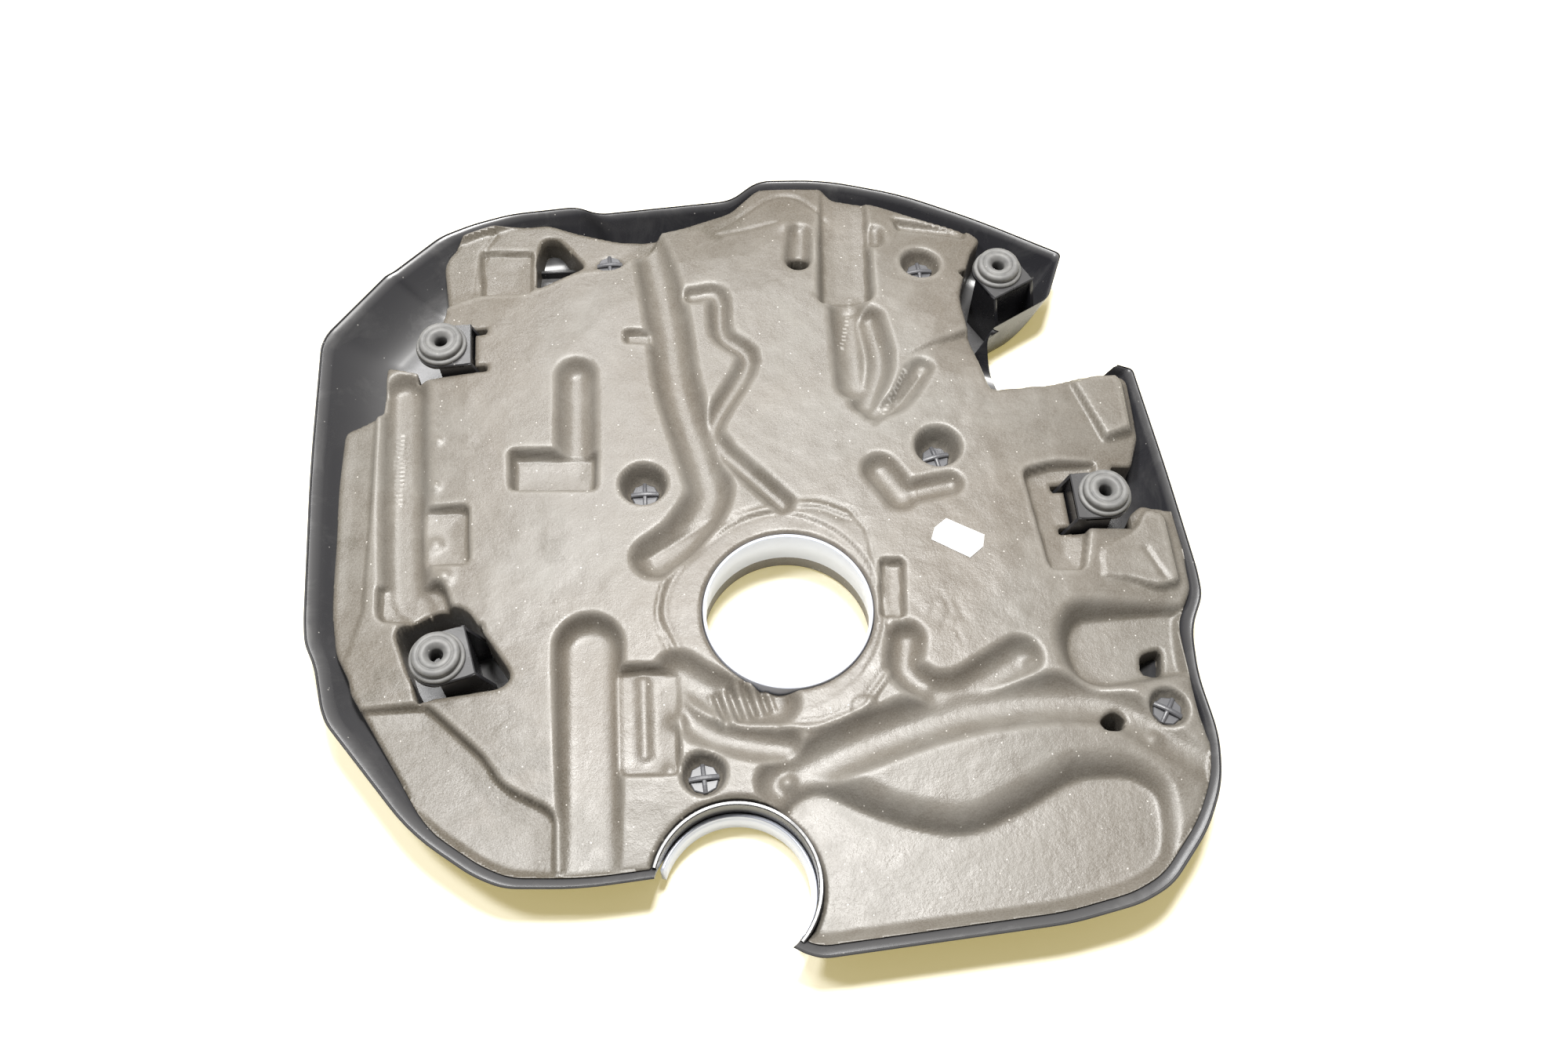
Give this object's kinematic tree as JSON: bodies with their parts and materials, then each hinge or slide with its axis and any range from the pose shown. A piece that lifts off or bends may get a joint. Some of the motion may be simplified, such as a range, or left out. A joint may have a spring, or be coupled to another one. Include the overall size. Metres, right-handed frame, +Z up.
{
  "type": "engine cover",
  "caption": "Moulded engine cover lying show face down: black shell with sound-absorbing foam, rubber ball-stud grommets on towers, a round filler opening and a half-round cut-out.",
  "frame": {"origin": "on the axis of the round centre hole, on the plane the cover rests on with its show face down", "axes": "+Z up out of the foam side, which faces the engine in use; +Y away from the half-round cut-out, along the cover's long sides; +X to the side with the notch"},
  "size_m": [0.5525, 0.5512, 0.06],
  "materials": {
    "shell": "satin",
    "foam": "matt moulded foam",
    "silver": "silver paint, satin",
    "rubber": "matt",
    "retainer": "satin",
    "paper": "matt"
  },
  "bodies": {
    "root": {"cover_shell": "shell", "foam_pad": "foam", "centre_sleeve": "silver", "cutout_trim": "silver", "blank_label": "paper", "grommet_rear_left": "rubber", "grommet_rear_right": "rubber", "grommet_right": "rubber", "grommet_front_left": "rubber", "retainer_1": "retainer", "retainer_2": "retainer", "retainer_3": "retainer", "retainer_4": "retainer", "retainer_5": "retainer", "retainer_6": "retainer"}
  },
  "joints": []
}
